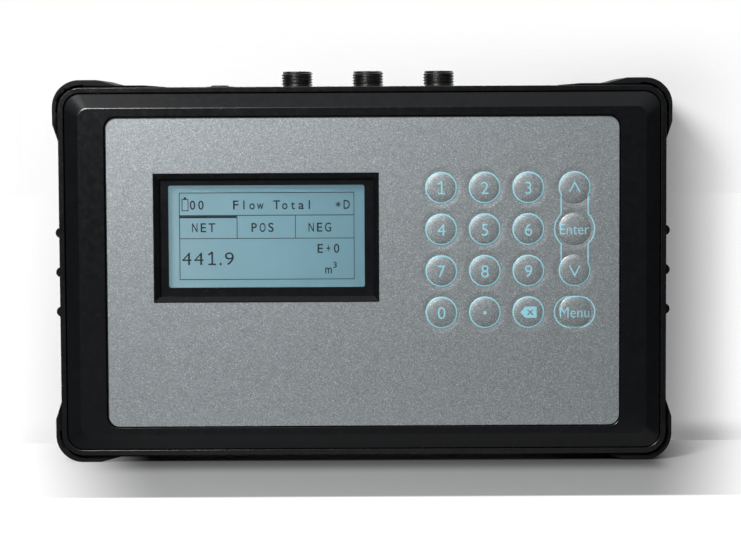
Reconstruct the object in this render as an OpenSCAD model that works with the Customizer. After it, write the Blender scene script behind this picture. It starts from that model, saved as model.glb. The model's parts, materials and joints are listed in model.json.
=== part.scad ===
// Portable ultrasonic flow meter: a black case with a chamfered bezel, a silver keypad panel,
// a recessed display, slotted corner guards and three threaded sockets on top.
// It stands upright: +Z is up, the front faces -Y, and the origin is under the middle of the feet.

/* [Front panel] */
// Width of the silver keypad panel
panel_w = 194; // [186:1:204]
// Height of the panel
panel_h = 117; // [112:1:124]
// Corner radius of the panel
panel_r = 4; // [2:0.5:7]
// Thickness of the panel sheet
panel_t = 0.8; // [0.6:0.1:1.2]
// Depth of the panel's face below the bezel's face
panel_sink = 0.3; // [0.2:0.1:0.4]
// Open gap around the panel in its recess
panel_gap = 0.5; // [0.3:0.1:0.9]
// Thickness of the spacer under the panel
spacer_t = 0.9; // [0.9:0.1:1.4]
// Thickness of the printed circuit under the spacer
circuit_t = 0.4; // [0.3:0.1:0.7]

/* [Bezel] */
// Flat of the bezel beside the panel
land_side = 10.3; // [8:0.1:13]
// Flat of the bezel above and below the panel
land_top = 3.65; // [2.5:0.05:6]
// Corner radius of the bezel's flat
land_r = 3.8; // [2:0.1:5.5]
// Width of the bezel's chamfer, seen from the front
chamfer_w = 5.4; // [3:0.1:7]
// Depth of the chamfer
chamfer_d = 3; // [2:0.1:4]
// Corner radius of the bezel's outer edge
bezel_r = 6; // [4.5:0.1:8]
// Whole depth of the bezel's edge
bezel_d = 7; // [6:0.1:9]
// Thickness of the bezel's plate behind the panel
plate_t = 2.6; // [2.2:0.1:3.5]
// Width of the bezel's edge behind the plate
skirt_t = 4.2; // [3:0.1:6]

/* [Display] */
// Centre of the display, to the right of the panel's centre
display_x = -36.5; // [-40:0.5:-33]
// Centre of the display above the panel's centre
display_z = 13; // [8:0.5:16]
// Width of the opening in the panel
surround_w = 85.4; // [83:0.2:90]
// Height of the opening in the panel
surround_h = 49; // [46:0.2:54]
// Width of the surround's sloping wall, seen from the front
slope_w = 1.7; // [1:0.1:2.5]
// Depth of the sloping wall
slope_d = 3.3; // [2.5:0.1:3.8]
// Width of the view of the screen
view_w = 74.4; // [66:0.2:76]
// Height of the view of the screen
view_h = 38.8; // [34:0.2:40]
// Corner radius of the view
view_r = 0.8; // [0.4:0.1:2]
// Centre of the view above the display's centre
view_lift = 0.4; // [0:0.1:0.8]
// Thickness of the clear window
window_t = 1.2; // [0.8:0.1:2]
// Thickness of the screen's glass
glass_t = 2.4; // [1.8:0.1:3]
// Thickness of the light panel behind the glass
light_t = 2.4; // [1.8:0.1:3.5]
// Width of the screen's circuit board
screen_board_w = 93; // [91:0.5:96]
// Height of the screen's circuit board
screen_board_h = 70; // [66:0.5:74]

/* [Keypad] */
// Diameter of a key
key_w = 12.2; // [10:0.1:13]
// Height of a key's crown above the panel
key_crown = 0.5; // [0.5:0.05:0.8]
// Travel of a key
key_travel = 0.4; // [0.2:0.05:0.4]
// Running clearance around a key
key_gap = 0.1; // [0.05:0.01:0.2]
// Centre of the first column, to the right of the panel's centre
key_x = 29.7; // [27:0.1:31]
// Spacing of the number columns
key_pitch_x = 16.45; // [14:0.05:17]
// Spacing from the third column to the last
last_pitch_x = 17.5; // [15:0.1:18.5]
// Centre of the top row above the panel's centre
key_z = 31.6; // [26:0.1:36]
// Spacing of the rows
key_pitch_z = 15.75; // [14:0.05:17]

/* [Case] */
// Depth from the bezel's face to the case's back
case_d = 54; // [50:1:70]
// Width of the case's rim around the bezel
rim_band = 2.15; // [2:0.05:4]
// Depth of the rim's face behind the bezel's face
rim_front = 3.2; // [3.1:0.1:4.5]
// Depth of the rim from its face to the step behind it
rim_d = 12.8; // [9:0.1:18]
// Height of the step behind the rim
rim_step = 2.5; // [2:0.1:3.2]
// Thickness of the side walls
wall_t = 3; // [2.4:0.1:4]
// Thickness of the back wall
back_t = 3; // [2.6:0.1:4]
// Chamfer along the back edges
back_chamfer = 3; // [1:0.1:4]
// Clearance between the bezel and the rim
bezel_gap = 0.3; // [0.2:0.05:0.5]

/* [Corner guards] */
// Bulge of a guard past the rim's sides
guard_side = 2.5; // [2:0.1:4]
// Bulge of a guard past the rim's top and bottom
guard_top = 2.9; // [2.2:0.1:4]
// Outer corner radius of a guard
guard_r = 10.3; // [8.5:0.1:12]
// Depth of a guard's front behind the bezel's face
guard_front = 5.5; // [4.5:0.1:8]
// Thickness of a guard's pad on the case's back
guard_back = 3; // [2:0.1:5]
// Width of the slot between a guard's loop and the rim
slot_w = 1.1; // [0.6:0.1:1.5]
// Reach of the slot from the rim's corner
slot_run = 9.5; // [8:0.1:12]
// Width of the web that joins the loop at the diagonal
web_w = 2; // [1:0.1:3]

/* [Grip ribs] */
// Number of ribs on each side
rib_count = 3; // [2:1:4]
// Spacing of the ribs
rib_pitch = 15; // [10:0.5:18]
// Radius of a rib
rib_r = 2; // [1.5:0.1:3]
// Height of a rib above the rim
rib_rise = 1.6; // [0.8:0.1:1.9]

/* [Sockets] */
// Centre of the middle socket, to the right of the case's centre
socket_x = 2.2; // [-4:0.1:8]
// Spacing of the sockets
socket_pitch = 27.5; // [24:0.1:32]
// Depth of the sockets' axes behind the bezel's face
socket_y = 30; // [28:0.5:36]
// Radius of the threaded barrel
socket_r = 6; // [5:0.1:7]
// Height of a barrel above the rim's top
socket_rise = 6.1; // [4:0.1:9]

/* [Power button] */
// Centre of the power button, to the left of the case's centre
power_x = 55.4; // [50:0.2:60]
// Diameter of the button's cap
power_w = 7.3; // [6:0.1:9]
// Height of the cap above the rim's top
power_rise = 0.9; // [0.6:0.1:2]
// Travel of the cap
power_travel = 0.8; // [0.3:0.1:1.2]

/* [Battery] */
// Number of cells side by side
cell_count = 4; // [2:1:4]
// Diameter of a cell
cell_w = 18.4; // [16:0.1:18.6]
// Length of a cell
cell_l = 65; // [60:0.5:66]
// Centre of the battery below the case's centre
battery_drop = 8; // [4:0.5:12]
// Width of the battery cover
cover_w = 80; // [79:0.5:84]
// Thickness of the battery cover
cover_t = 2.4; // [1.8:0.1:2.8]

/* [Boards] */
// Width of the main board
board_w = 188; // [170:1:190]
// Height of the main board
board_h = 106; // [100:1:112]
// Thickness of a circuit board
board_t = 1.6; // [1:0.1:2]
// Depth of the main board's face behind the bezel's face
board_front = 18; // [17.5:0.1:19]

/* [Hidden] */
// Small clearances and the overrun of a cut
fit = 0.15;
screw_play = 0.05;
over = 1;
sheet_skin = 0.02;

// Sides of a curve in a hulled shape, and in a true one
hull_sides = 48;
round_sides = 64;

// Panel layers, as depths behind the bezel's face
recess_d = panel_sink + panel_t + spacer_t + circuit_t;
plate_back = recess_d + plate_t;
recess_w = panel_w + 2 * panel_gap;
recess_h = panel_h + 2 * panel_gap;

// Bezel outlines
land_w = panel_w + 2 * land_side;
land_h = panel_h + 2 * land_top;
bezel_w = land_w + 2 * chamfer_w;
bezel_h = land_h + 2 * chamfer_w;

// Case outlines
rebate_w = bezel_w + 2 * bezel_gap;
rebate_h = bezel_h + 2 * bezel_gap;
rebate_r = bezel_r + bezel_gap;
rim_w = rebate_w + 2 * rim_band;
rim_h = rebate_h + 2 * rim_band;
rim_r = rebate_r + rim_band;
rim_back = rim_front + rim_d;
shell_w = rim_w - 2 * rim_step;
shell_h = rim_h - 2 * rim_step;
shell_r = rim_r - rim_step;
cavity_w = shell_w - 2 * wall_t;
cavity_h = shell_h - 2 * wall_t;
cavity_r = shell_r - wall_t;
back_inner = case_d - back_t;
gasket_t = 1;
gasket_w = 2.2;
ledge_front = bezel_d + gasket_t;

// Places in the part's own frame
key_proud = key_crown - panel_sink;
y_front = key_proud - (case_d + guard_back + key_proud) / 2;
z_mid = rim_h / 2 + guard_top;
z_rim = z_mid + rim_h / 2;
z_wall = z_mid + shell_h / 2;

// Display surround and screen stack
surround_rim = 0.3;
island_w = surround_w - 2 * fit;
island_h = surround_h - 2 * fit;
slope_top_w = island_w - 2 * surround_rim;
slope_top_h = island_h - 2 * surround_rim;
floor_d = panel_sink + slope_d;
window_lap = 2.6;
window_w = view_w + 2 * window_lap;
window_h = view_h + 2 * window_lap;
window_rib = 1.2;
screen_lip = 0.5;
screen_gap = 0.3;
screen_front = plate_back + window_t + screen_gap;
screen_margin = 5;
glass_w = view_w + 2 * screen_margin;
glass_h = view_h + 2 * screen_margin - 2 * screen_lip;
frame_t = 0.6;
screen_back = screen_front + screen_lip + glass_t + light_t;
screen_hole_inset = 2.5;
lcd_boss_r = 2.4;

// Keypad
key_hole_r = key_w / 2 + key_gap;
crown_steps = 8;
spacer_hole_r = key_hole_r + key_gap;
dome_r = 4;
dome_h = spacer_t - key_travel - screw_play;
dome_top_r = 2.4;
tail_w = 16;
tail_t = 0.3;
tail_x = 14.5;
tail_z = -38;
tail_play = 0.4;
column_x = [key_x, key_x + key_pitch_x, key_x + 2 * key_pitch_x,
    key_x + 2 * key_pitch_x + last_pitch_x];
row_z = [for (row = [0 : 3]) key_z - row * key_pitch_z];

// Screws that hold the case, the boards and the battery cover
screw_r = 1.5;
head_r = 2.9;
head_h = 2.2;
head_play = 0.3;
bore_r = screw_r + screw_play;
column_r = 4.6;
column_inset = 3.6;
case_boss_r = column_inset - fit;
column_front = board_front + board_t;
column_seat = column_front + 8;
case_screw_l = 18;
case_screw_x = cavity_w / 2 - column_inset;
case_screw_z = cavity_h / 2 - column_inset;
small_screw_r = 1.2;
small_head_r = 2.2;
small_head_h = 1.4;
small_bore_r = small_screw_r + screw_play;
lcd_screw_l = 6;
board_screw_l = 8;
board_hole_inset = 4;
board_boss_r = 3.5;
board_hole_x = board_w / 2 - board_hole_inset;
board_hole_z = board_h / 2 - board_hole_inset;
lcd_hole_x = screen_board_w / 2 - screen_hole_inset;
lcd_hole_z = screen_board_h / 2 - screen_hole_inset;

// Corner guards: distances run from the rim's corner
guard_flat_top = 14.5;
guard_slope_top = 22.3;
guard_flat_side = 13.5;
guard_slope_side = 21.1;
tail_rise = 0.8;
tail_flat = 32.5;
tail_end = 42.5;
web_sink = 0.8;
pad_run = 20;
pad_hole_r = column_r;
guard_cut = case_d + fit - guard_front + over;

// Grip pads that carry the ribs behind the rim
grip_margin = 5;
grip_h = (rib_count - 1) * rib_pitch + 2 * grip_margin;
grip_back = case_d - 2 * back_chamfer - grip_margin;

// Sockets: heights run from the case's top wall
flange_r = socket_r + 1.5 * screw_r;
flange_h = 1.8;
washer_t = 0.5;
barrel_wall = 1.1;
barrel_depth = 6.4;
neck_r = socket_r - 0.5 * screw_r;
neck_l = 8;
nut_h = 2.5;
nut_r = 8.4;
pin_r = 0.5;
pin_ring_r = 2.5;
pin_count = 4;
pin_l = 4.6;
pin_tail = 3;
barrel_base = z_wall + washer_t + flange_h;
barrel_top = z_rim + socket_rise;
insert_h = 3;

// Power button
collar_r = 5.5;
collar_rise = 0.45;
collar_neck_r = 4.6;
collar_neck_l = 7;
power_stem_r = 2;
power_lip = 1.2;
power_nut_h = 2;
power_nut_r = 6.4;
power_body_w = 12;
power_body_h = 9;
stem_gap = 0.2;

// Battery compartment, from the case's centre
battery_play = 1.2;
battery_seat = 0.3;
bay_w = cell_count * cell_w + 2 * battery_play;
bay_h = cell_l + 2 * battery_play;
bay_wall = 2;
cover_play = 0.2;
cover_seat = 0.1;
cover_front = case_d - cover_t;
cover_reach = 8.4;
cover_h = bay_h + 2 * cover_reach;
cover_r = 4;
cover_screw_z = bay_h / 2 + cover_reach / 2;
bay_front = cover_front - cover_seat - battery_seat * 2 - cell_w;
door_t = 4;
door_margin = 2;
cover_screw_l = 6;
groove_count = 5;
groove_w = 1.4;
groove_pitch = 3.2;
groove_l = 34;
groove_d = 0.6;

// Parts on the main board, beside the battery bay
chip_t = 1.8;
shield_t = 3.4;
tail_socket_t = 0.7;
parts_x = (bay_w / 2 + bay_wall + board_w / 2) / 2;

// A flat outline, drawn about the panel's centre, given a depth behind the bezel's face
module slab(front, depth) {
    translate([0, y_front + front + depth, z_mid])
        rotate([90, 0, 0])
            linear_extrude(depth) children();
}

module rounded(w, h, r) {
    square([w - 2 * r, h], center = true);
    square([w, h - 2 * r], center = true);
    for (side = [-1, 1], level = [-1, 1])
        translate([side * (w / 2 - r), level * (h / 2 - r)]) circle(r, $fn = round_sides);
}

module disc(r) {
    circle(r, $fn = round_sides);
}

// Copies at the four corners of a rectangle
module at_corners(x, z) {
    for (side = [-1, 1], level = [-1, 1])
        translate([side * x, level * z]) children();
}

module at_display() {
    translate([display_x, display_z]) children();
}

module at_view() {
    translate([display_x, display_z + view_lift]) children();
}

module at_battery() {
    translate([0, -battery_drop]) children();
}

module at_keys() {
    for (x = column_x, z = row_z) translate([x, z]) children();
}

// A round upright piece whose axis is at x and at a depth behind the bezel's face
module upright(x, depth, low, high, r) {
    translate([x, y_front + depth, low])
        cylinder(h = high - low, r = r, $fn = round_sides);
}

module at_sockets() {
    for (step = [-1 : 1]) translate([socket_x + step * socket_pitch, 0, 0]) children();
}

module screw(front, length, r, head, head_height) {
    slab(front - length, length) disc(r);
    slab(front, head_height) disc(head);
}

// The bezel is lofted from its flat to its outer edge, then recessed for the panel
module bezel_body() {
    hull() {
        slab(0, sheet_skin) rounded(land_w, land_h, land_r, $fn = hull_sides);
        slab(chamfer_d, bezel_d - chamfer_d) rounded(bezel_w, bezel_h, bezel_r);
    }
}

module sloping_wall() {
    hull() {
        slab(panel_sink - sheet_skin, sheet_skin) at_display()
            square([slope_top_w, slope_top_h], center = true);
        slab(floor_d - sheet_skin, sheet_skin) at_display()
            square([slope_top_w - 2 * slope_w, slope_top_h - 2 * slope_w], center = true);
    }
}

module front_bezel() {
    color("#1c1d20") difference() {
        union() {
            difference() {
                bezel_body();
                slab(-over, over + panel_sink) rounded(recess_w, recess_h, panel_r + panel_gap);
                slab(0, recess_d) difference() {
                    rounded(recess_w, recess_h, panel_r + panel_gap);
                    at_display() square([island_w, island_h], center = true);
                }
                slab(plate_back, bezel_d)
                    rounded(bezel_w - 2 * skirt_t, bezel_h - 2 * skirt_t, land_r);
                sloping_wall();
            }
            slab(plate_back, window_t) at_view() difference() {
                square([window_w + 2 * fit + 2 * window_rib, window_h + 2 * fit + 2 * window_rib],
                    center = true);
                square([window_w + 2 * fit, window_h + 2 * fit], center = true);
            }
            slab(plate_back, screen_back - plate_back) at_display()
                at_corners(lcd_hole_x, lcd_hole_z) disc(lcd_boss_r);
            slab(plate_back, board_front - plate_back)
                at_corners(board_hole_x, board_hole_z) disc(board_boss_r);
            slab(plate_back, column_front - plate_back)
                at_corners(case_screw_x, case_screw_z) disc(case_boss_r);
        }
        slab(-over, plate_back + 2 * over) at_view() rounded(view_w, view_h, view_r);
        slab(recess_d - over, plate_t + 2 * over) translate([tail_x, tail_z])
            square([tail_t + 2 * tail_play, tail_w + 2 * tail_play], center = true);
        slab(screen_back - lcd_screw_l, lcd_screw_l + over) at_display()
            at_corners(lcd_hole_x, lcd_hole_z) disc(small_bore_r);
        slab(board_front - board_screw_l, board_screw_l + over)
            at_corners(board_hole_x, board_hole_z) disc(small_bore_r);
        slab(column_seat - case_screw_l - screw_play, case_screw_l)
            at_corners(case_screw_x, case_screw_z) disc(bore_r);
    }
}

// Panel, spacer and circuit share one outline and one opening for the surround
module panel_outline() {
    difference() {
        rounded(panel_w, panel_h, panel_r);
        at_display() square([surround_w, surround_h], center = true);
    }
}

module keypad_panel() {
    color("#8f979a") slab(panel_sink, panel_t) difference() {
        panel_outline();
        at_keys() disc(key_hole_r);
    }
}

module keypad_spacer() {
    color("#d8d8d2") slab(panel_sink + panel_t, spacer_t) difference() {
        panel_outline();
        at_keys() disc(spacer_hole_r);
    }
}

module keypad_circuit() {
    color("#3d7a4a") {
        slab(recess_d - circuit_t, circuit_t) panel_outline();
        slab(recess_d, board_front - recess_d - 2 * tail_play) translate([tail_x, tail_z])
            square([tail_t, tail_w], center = true);
    }
}

module snap_domes() {
    color("#c9ccd0") for (x = column_x, z = row_z)
        translate([x, y_front + recess_d - circuit_t, z_mid + z]) rotate([90, 0, 0])
            cylinder(h = dome_h, r1 = dome_r, r2 = dome_top_r, $fn = round_sides);
}

// A key is the panel's own skin, embossed to a low crown with a rounded edge
module key(column, row) {
    crown = [for (step = [0 : crown_steps]) let (turn = 90 * step / crown_steps)
        [key_w / 2 * sqrt(cos(turn)), panel_t + key_crown * sin(turn)]];
    color("#959da0")
        translate([column_x[column], y_front + panel_sink + panel_t, z_mid + row_z[row]])
            rotate([90, 0, 0]) rotate_extrude($fn = round_sides)
                polygon(concat([[0, 0], [key_w / 2, 0]], crown));
}

module display_window() {
    color([0.8, 0.88, 0.9, 0.4]) slab(plate_back, window_t) at_view()
        square([window_w, window_h], center = true);
}

module screen_frame() {
    color("#3a3c3f") {
        slab(screen_front, screen_lip) at_view() difference() {
            square([glass_w + 2 * frame_t + 2 * fit, glass_h + 2 * frame_t + 2 * fit],
                center = true);
            square([view_w + 2 * frame_t, view_h + 2 * frame_t], center = true);
        }
        slab(screen_front + screen_lip, glass_t + light_t) at_view() difference() {
            square([glass_w + 2 * frame_t + 2 * fit, glass_h + 2 * frame_t + 2 * fit],
                center = true);
            square([glass_w + 2 * fit, glass_h + 2 * fit], center = true);
        }
    }
}

module screen_glass() {
    color("#7fa6b3") slab(screen_front + screen_lip, glass_t) at_view()
        square([glass_w, glass_h], center = true);
}

module screen_light() {
    color("#eef2f2") slab(screen_front + screen_lip + glass_t, light_t) at_view()
        square([glass_w, glass_h], center = true);
}

module screen_board() {
    color("#2f6b3c") slab(screen_back, board_t) at_display() difference() {
        square([screen_board_w, screen_board_h], center = true);
        at_corners(lcd_hole_x, lcd_hole_z) disc(small_bore_r);
    }
}

module screen_screws() {
    color("#a9adb0") for (side = [-1, 1], level = [-1, 1])
        translate([display_x + side * lcd_hole_x, 0, display_z + level * lcd_hole_z])
            screw(screen_back + board_t, lcd_screw_l, small_screw_r, small_head_r, small_head_h);
}

module case_gasket() {
    color("#26272a") slab(bezel_d, gasket_t) difference() {
        rounded(bezel_w - 2 * fit, bezel_h - 2 * fit, bezel_r);
        rounded(bezel_w - 2 * gasket_w, bezel_h - 2 * gasket_w, bezel_r - gasket_w / 2);
    }
}

// The deep rear shell: a stepped rim, a chamfered back, grip ribs and the battery bay
module shell_outside() {
    slab(rim_front, rim_d) rounded(rim_w, rim_h, rim_r);
    hull() {
        slab(rim_back - over, case_d - back_chamfer - rim_back + over)
            rounded(shell_w, shell_h, shell_r);
        slab(case_d - sheet_skin, sheet_skin)
            rounded(shell_w - 2 * back_chamfer, shell_h - 2 * back_chamfer, shell_r);
    }
    slab(rim_back - over, grip_back - rim_back + over)
        square([rim_w, grip_h], center = true);
    slab(guard_front, grip_back - guard_front)
        for (side = [-1, 1], step = [0 : rib_count - 1])
            translate([side * (rim_w / 2 + rib_rise - rib_r),
                (step - (rib_count - 1) / 2) * rib_pitch]) disc(rib_r);
}

module battery_bay() {
    slab(bay_front - bay_wall, back_inner - bay_front + bay_wall) at_battery()
        square([bay_w + 2 * bay_wall, bay_h + 2 * bay_wall], center = true);
    slab(cover_front - door_t, back_inner - cover_front + door_t) at_battery()
        square([cover_w + 2 * door_margin, cover_h + 2 * door_margin], center = true);
}

module rear_shell() {
    color("#232427") difference() {
        union() {
            difference() {
                shell_outside();
                slab(0, ledge_front) rounded(rebate_w, rebate_h, rebate_r);
                slab(0, back_inner) rounded(cavity_w, cavity_h, cavity_r);
            }
            slab(column_front, back_inner - column_front)
                at_corners(case_screw_x, case_screw_z) disc(column_r);
            battery_bay();
        }
        slab(column_front - over, case_d)
            at_corners(case_screw_x, case_screw_z) disc(screw_r + head_play);
        slab(column_seat, case_d)
            at_corners(case_screw_x, case_screw_z) disc(head_r + head_play);
        slab(bay_front, case_d) at_battery() square([bay_w, bay_h], center = true);
        slab(cover_front - cover_seat, case_d) at_battery()
            rounded(cover_w + 2 * cover_play, cover_h + 2 * cover_play, cover_r + cover_play);
        slab(cover_front - cover_screw_l, case_d) at_battery()
            for (level = [-1, 1]) translate([0, level * cover_screw_z]) disc(small_bore_r);
        at_sockets() upright(0, socket_y, z_wall - wall_t - over, z_wall + over, neck_r + fit);
        upright(-power_x, socket_y, z_wall - wall_t - over, z_wall + over, collar_neck_r + fit);
    }
}

module case_screws() {
    color("#8d9194") for (side = [-1, 1], level = [-1, 1])
        translate([side * case_screw_x, 0, level * case_screw_z])
            screw(column_seat, case_screw_l, screw_r, head_r, head_h);
}

// Reach of the top right guard, with a flat, a slope and a low tail along each edge
module guard_reach(inner) {
    translate([rim_w / 2, rim_h / 2]) polygon([
        [-tail_end, 0], [-tail_flat, tail_rise], [-guard_slope_top, tail_rise],
        [-guard_flat_top, guard_top], [guard_side, guard_top], [guard_side, -guard_flat_side],
        [0, -guard_slope_side], [-inner, -guard_slope_side], [-inner, -inner],
        [-tail_end, -inner]]);
}

module guard_outline(inner) {
    intersection() {
        guard_reach(inner);
        rounded(rim_w + 2 * guard_side, rim_h + 2 * guard_top, guard_r);
    }
}

module rim_clearance() {
    rounded(rim_w + 2 * fit, rim_h + 2 * fit, rim_r + fit);
}

module slot_outline() {
    intersection() {
        rounded(rim_w + 2 * slot_w, rim_h + 2 * slot_w, rim_r + slot_w);
        translate([rim_w / 2 - slot_run, rim_h / 2 - slot_run])
            square(slot_run + guard_top + guard_side);
    }
}

module web_outline() {
    translate([rim_w / 2 - rim_r, rim_h / 2 - rim_r]) rotate(45)
        translate([0, -web_w / 2]) square([rim_r + guard_top + guard_side, web_w]);
}

module guard_flip(side, level) {
    mirror([side < 0 ? 1 : 0, 0]) mirror([0, level < 0 ? 1 : 0]) children();
}

// A guard wraps the rim and the side behind it, and ends in a pad on the case's back
module guard(side, level) {
    color("#202124") difference() {
        union() {
            slab(guard_front, case_d + fit - guard_front) guard_flip(side, level)
                guard_outline(rim_r);
            slab(case_d, guard_back) guard_flip(side, level) intersection() {
                guard_outline(pad_run);
                translate([rim_w / 2 - pad_run, rim_h / 2 - pad_run])
                    square(pad_run + guard_top + guard_side);
            }
        }
        slab(guard_front - over, rim_back + fit - guard_front + over) rim_clearance();
        slab(guard_front - over, guard_cut)
            rounded(shell_w + 2 * fit, shell_h + 2 * fit, shell_r + fit);
        slab(guard_front - over, over + web_sink) guard_flip(side, level) slot_outline();
        slab(guard_front - over, guard_cut) guard_flip(side, level) difference() {
            slot_outline();
            rim_clearance();
            web_outline();
        }
        slab(case_d, guard_back + over) guard_flip(side, level)
            translate([case_screw_x, case_screw_z]) disc(pad_hole_r);
    }
}

module main_board() {
    color("#2a6339") slab(board_front, board_t) difference() {
        square([board_w, board_h], center = true);
        at_corners(board_hole_x, board_hole_z) disc(small_bore_r);
    }
}

// Signal chips and their shield behind the board, and the socket for the keypad's tail
module board_components() {
    color("#2b2c2f") {
        slab(board_front + board_t, shield_t) translate([-parts_x, board_h / 4])
            square([board_w / 5, board_h / 4], center = true);
        slab(board_front + board_t, chip_t) translate([parts_x, board_h / 5])
            square(board_h / 6, center = true);
        slab(board_front + board_t, chip_t) translate([parts_x, -board_h / 6])
            square([board_h / 5, board_h / 10], center = true);
        slab(board_front - tail_socket_t, tail_socket_t) translate([tail_x, tail_z])
            square([tail_w / 4, tail_w + tail_play], center = true);
    }
}

module board_screws() {
    color("#a9adb0") for (side = [-1, 1], level = [-1, 1])
        translate([side * board_hole_x, 0, level * board_hole_z])
            screw(board_front + board_t, board_screw_l, small_screw_r, small_head_r,
                small_head_h);
}

// Cells stand side by side in the bay, as one pack
module battery_pack() {
    color("#3b6ea8") for (cell = [0 : cell_count - 1])
        upright((cell - (cell_count - 1) / 2) * cell_w,
            bay_front + battery_seat + cell_w / 2,
            z_mid - battery_drop - cell_l / 2, z_mid - battery_drop + cell_l / 2,
            cell_w / 2 - screw_play);
}

module battery_cover() {
    color("#26272a") difference() {
        slab(cover_front, cover_t) at_battery() difference() {
            rounded(cover_w, cover_h, cover_r);
            for (level = [-1, 1]) translate([0, level * cover_screw_z]) disc(small_bore_r);
        }
        slab(case_d - small_head_h, small_head_h + over) at_battery()
            for (level = [-1, 1]) translate([0, level * cover_screw_z])
                disc(small_head_r + head_play);
        slab(case_d - groove_d, groove_d + over) at_battery() translate([0, bay_h / 4])
            for (step = [0 : groove_count - 1])
                translate([0, (step - (groove_count - 1) / 2) * groove_pitch])
                    square([groove_l, groove_w], center = true);
    }
}

module cover_screws() {
    color("#8d9194") for (level = [-1, 1])
        translate([0, 0, level * cover_screw_z - battery_drop])
            screw(case_d - small_head_h, cover_screw_l, small_screw_r, small_head_r,
                small_head_h);
}

// A panel socket: flange on the wall, threaded barrel above it, neck through the wall
module socket(step) {
    x = socket_x + step * socket_pitch;
    color("#a3a7a8") difference() {
        union() {
            upright(x, socket_y, barrel_base - flange_h, barrel_base, flange_r);
            upright(x, socket_y, barrel_base, barrel_top, socket_r);
            upright(x, socket_y, z_wall - neck_l, barrel_base, neck_r);
        }
        upright(x, socket_y, barrel_top - barrel_depth, barrel_top + over,
            socket_r - barrel_wall);
        upright(x, socket_y, z_wall - neck_l - over, barrel_top, pin_ring_r + 2 * pin_r);
    }
}

module socket_inserts() {
    color("#1a1a1c") at_sockets() difference() {
        union() {
            upright(0, socket_y, barrel_top - barrel_depth,
                barrel_top - barrel_depth + insert_h / 2, socket_r - barrel_wall - fit);
            upright(0, socket_y, z_wall - neck_l, barrel_top - barrel_depth,
                pin_ring_r + 2 * pin_r - fit);
        }
        for (turn = [0 : pin_count - 1])
            translate([pin_ring_r * cos(turn * 360 / pin_count + 45),
                pin_ring_r * sin(turn * 360 / pin_count + 45), 0])
                upright(0, socket_y, z_wall - neck_l - over, barrel_top, pin_r + screw_play);
    }
}

module socket_pins() {
    color("#c8a951") at_sockets() for (turn = [0 : pin_count - 1])
        translate([pin_ring_r * cos(turn * 360 / pin_count + 45),
            pin_ring_r * sin(turn * 360 / pin_count + 45), 0])
            upright(0, socket_y, z_wall - neck_l - pin_tail,
                barrel_top - barrel_depth + pin_l, pin_r);
}

module socket_washers() {
    color("#17181a") at_sockets() difference() {
        upright(0, socket_y, z_wall, z_wall + washer_t, flange_r);
        upright(0, socket_y, z_wall - over, z_wall + over, neck_r + fit);
    }
}

module socket_nuts() {
    color("#a3a7a8") at_sockets() difference() {
        translate([0, y_front + socket_y, z_wall - wall_t - nut_h])
            cylinder(h = nut_h, r = nut_r, $fn = 6);
        upright(0, socket_y, z_wall - wall_t - nut_h - over, z_wall, neck_r + screw_play);
    }
}

// The cap slides in the collar, on a stem that ends just above the switch
module power_button() {
    color("#2c2d30") {
        upright(-power_x, socket_y, z_wall + power_lip, z_rim + power_rise, power_w / 2);
        upright(-power_x, socket_y, z_wall - collar_neck_l + power_travel + stem_gap,
            z_wall + power_lip, power_stem_r);
    }
}

module power_collar() {
    color("#1b1c1e") difference() {
        union() {
            upright(-power_x, socket_y, z_wall, z_rim + collar_rise, collar_r);
            upright(-power_x, socket_y, z_wall - collar_neck_l, z_wall, collar_neck_r);
        }
        upright(-power_x, socket_y, z_wall + power_lip - power_travel - stem_gap,
            z_rim + over, power_w / 2 + screw_play);
        upright(-power_x, socket_y, z_wall - collar_neck_l - over, z_rim,
            power_stem_r + screw_play);
    }
}

module power_nut() {
    color("#8d9194") difference() {
        translate([-power_x, y_front + socket_y, z_wall - wall_t - power_nut_h])
            cylinder(h = power_nut_h, r = power_nut_r, $fn = 6);
        upright(-power_x, socket_y, z_wall - wall_t - power_nut_h - over, z_wall,
            collar_neck_r + screw_play);
    }
}

module power_switch() {
    color("#3a3b3e") translate([-power_x, y_front + socket_y,
        z_wall - collar_neck_l - power_body_h / 2])
        cube([power_body_w, power_body_w, power_body_h], center = true);
}

front_bezel();
keypad_panel();
keypad_spacer();
keypad_circuit();
snap_domes();
key(0, 0);  // key_1
key(1, 0);  // key_2
key(2, 0);  // key_3
key(3, 0);  // key_up
key(0, 1);  // key_4
key(1, 1);  // key_5
key(2, 1);  // key_6
key(3, 1);  // key_enter
key(0, 2);  // key_7
key(1, 2);  // key_8
key(2, 2);  // key_9
key(3, 2);  // key_down
key(0, 3);  // key_0
key(1, 3);  // key_point
key(2, 3);  // key_backspace
key(3, 3);  // key_menu
display_window();
screen_frame();
screen_glass();
screen_light();
screen_board();
screen_screws();
case_gasket();
rear_shell();
case_screws();
guard(-1, 1);  // guard_top_left
guard(1, 1);  // guard_top_right
guard(-1, -1);  // guard_bottom_left
guard(1, -1);  // guard_bottom_right
main_board();
board_components();
board_screws();
battery_pack();
battery_cover();
cover_screws();
socket(-1);  // upstream_socket
socket(0);  // downstream_socket
socket(1);  // data_socket
socket_inserts();
socket_pins();
socket_washers();
socket_nuts();
power_button();
power_collar();
power_nut();
power_switch();
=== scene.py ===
import json
import math
import bpy
from mathutils import Matrix, Vector

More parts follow.
